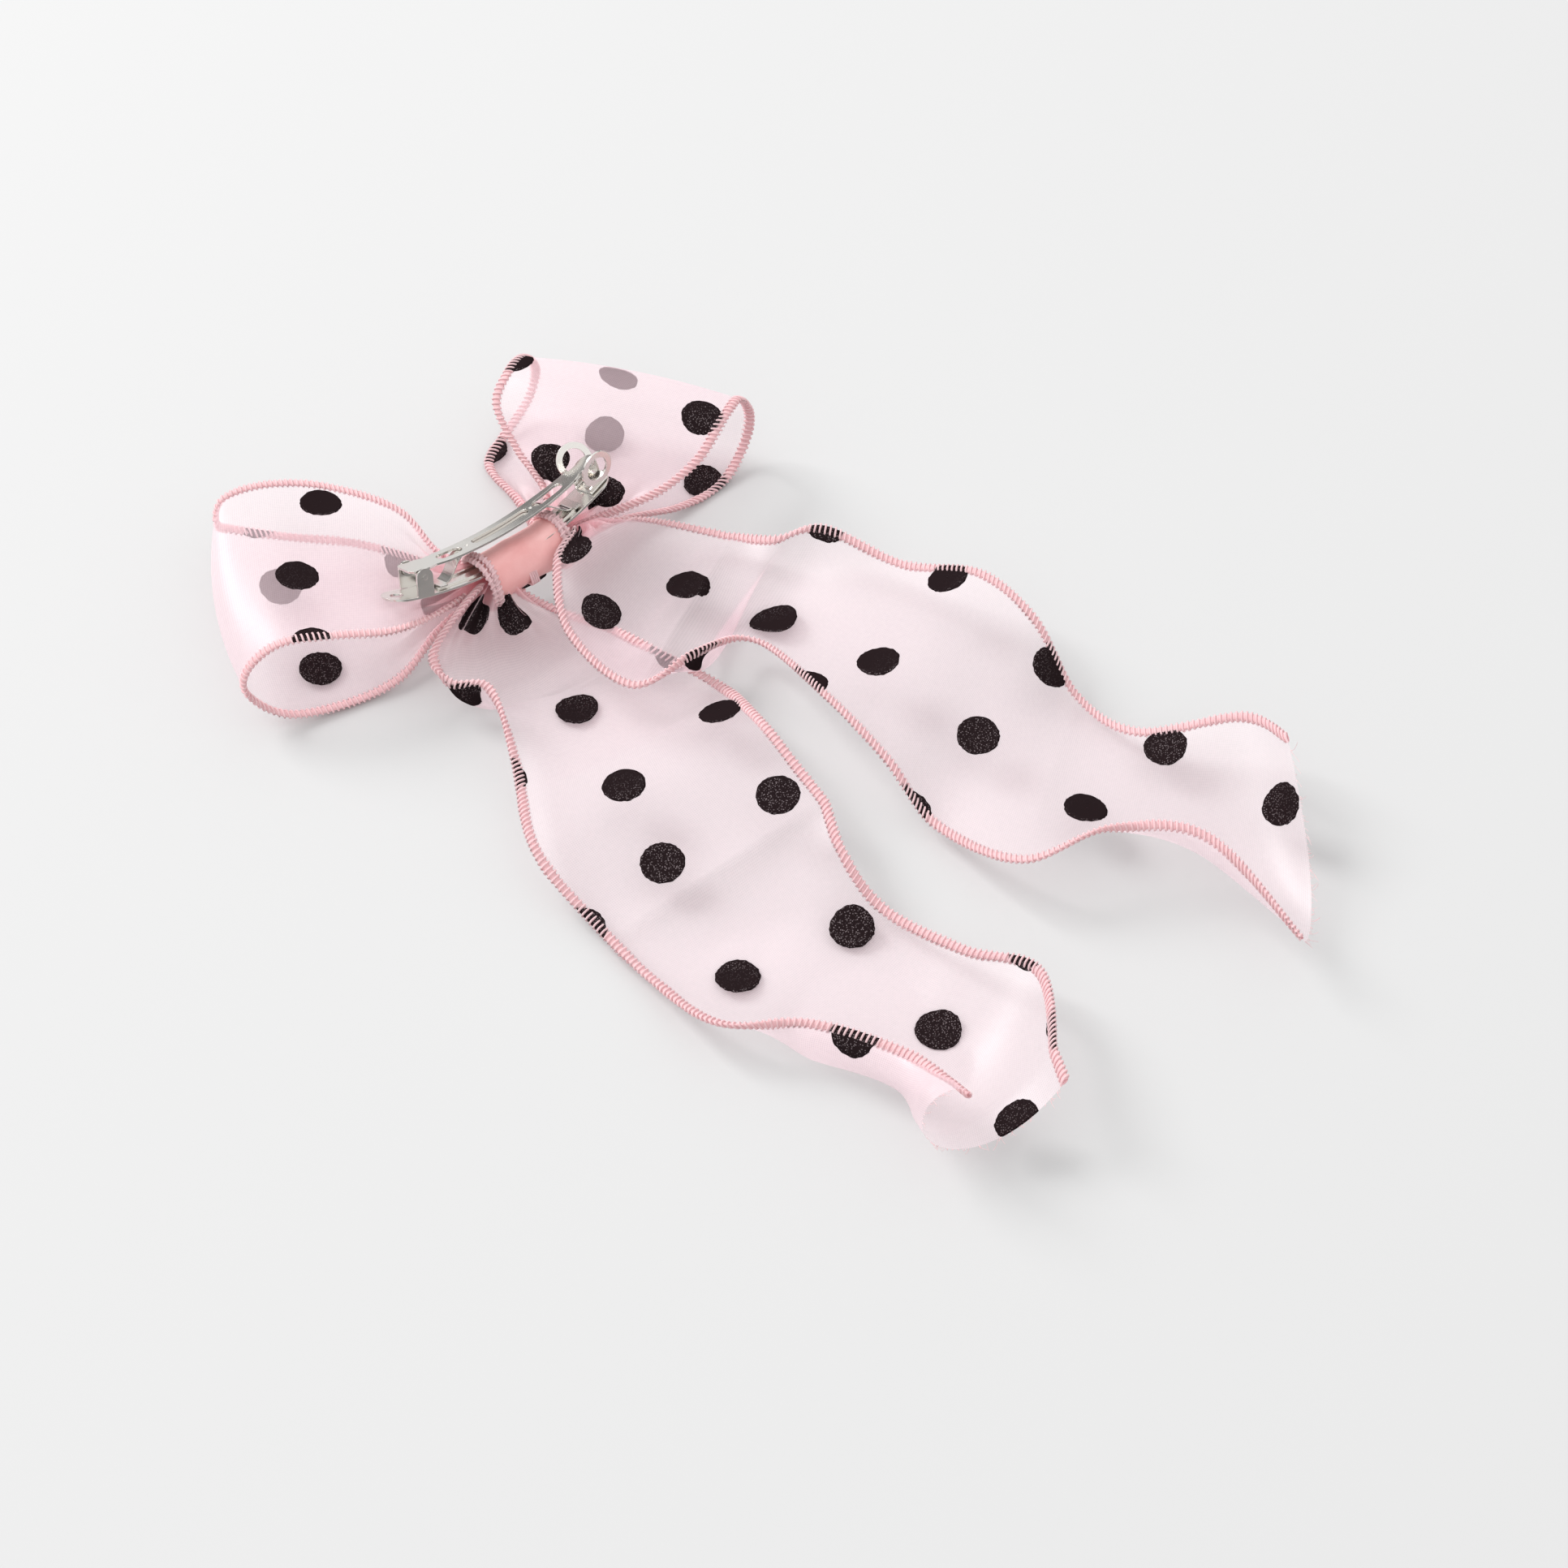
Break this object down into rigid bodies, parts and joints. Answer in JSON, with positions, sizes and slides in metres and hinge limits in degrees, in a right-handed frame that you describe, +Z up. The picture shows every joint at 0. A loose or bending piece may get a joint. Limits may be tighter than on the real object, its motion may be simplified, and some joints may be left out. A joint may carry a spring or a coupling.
{
  "type": "hair bow",
  "caption": "Sheer dotted ribbon bow with loops and long wavy tails, gathered by a wrap onto a spring barrette, lying face down.",
  "frame": {"origin": "bottom centre of the whole bow's box, on the surface that it lies on", "axes": "+X along the clip from its hinge end to its catch end, -Y the way the tails run, +Z up, with the bow face down"},
  "size_m": [0.1548, 0.2222, 0.0286],
  "materials": {
    "bright_nickel": "bright nickel plate on stamped spring steel",
    "dotted_organza": "sheer pale pink organza with black flocked dots",
    "folded_organza": "the same organza folded several layers thick",
    "pink_thread": "overlocked polyester thread"
  },
  "bodies": {
    "root": {"base_plate": "bright_nickel", "catch_bracket": "bright_nickel", "catch_rivet": "bright_nickel", "left_loop": "dotted_organza", "right_loop": "dotted_organza", "left_tail": "dotted_organza", "right_tail": "dotted_organza", "centre_wrap": "folded_organza", "gathering_thread": "pink_thread", "left_loop_near_edging": "pink_thread", "left_loop_far_edging": "pink_thread", "right_loop_near_edging": "pink_thread", "right_loop_far_edging": "pink_thread", "left_tail_near_edging": "pink_thread", "left_tail_far_edging": "pink_thread", "right_tail_near_edging": "pink_thread", "right_tail_far_edging": "pink_thread", "wrap_left_edging": "pink_thread", "wrap_right_edging": "pink_thread"},
    "arm": {"clasp_arm": "bright_nickel"},
    "spring": {"tension_spring": "bright_nickel"},
    "wing_near": {"catch_wing_near": "bright_nickel"},
    "wing_far": {"catch_wing_far": "bright_nickel"}
  },
  "joints": [
    {"name": "arm_hinge", "type": "hinge", "parent": "root", "child": "arm", "pos_m": [-0.03455, 0.06503, 0.02052], "axis": [0, -0.8988, 0.4384], "range_deg": [0, 95]},
    {"name": "spring_lift", "type": "hinge", "parent": "root", "child": "spring", "pos_m": [-0.03166, 0.06311, 0.01658], "axis": [0, -0.8988, 0.4384], "range_deg": [0, 12]},
    {"name": "wing_near_flex", "type": "hinge", "parent": "root", "child": "wing_near", "pos_m": [0.01082, 0.06137, 0.01996], "axis": [0.9455, 0.1427, 0.2926], "range_deg": [0, 8], "stiffness_Nm_per_rad": 0.02},
    {"name": "wing_far_flex", "type": "hinge", "parent": "root", "child": "wing_far", "pos_m": [0.01082, 0.06685, 0.01729], "axis": [-0.9455, -0.1427, -0.2926], "range_deg": [0, 8], "stiffness_Nm_per_rad": 0.02}
  ],
  "couplings": [
    {"joint": "spring_lift", "follows": "arm_hinge", "ratio": 0.12},
    {"joint": "wing_far_flex", "follows": "wing_near_flex", "ratio": 1}
  ]
}
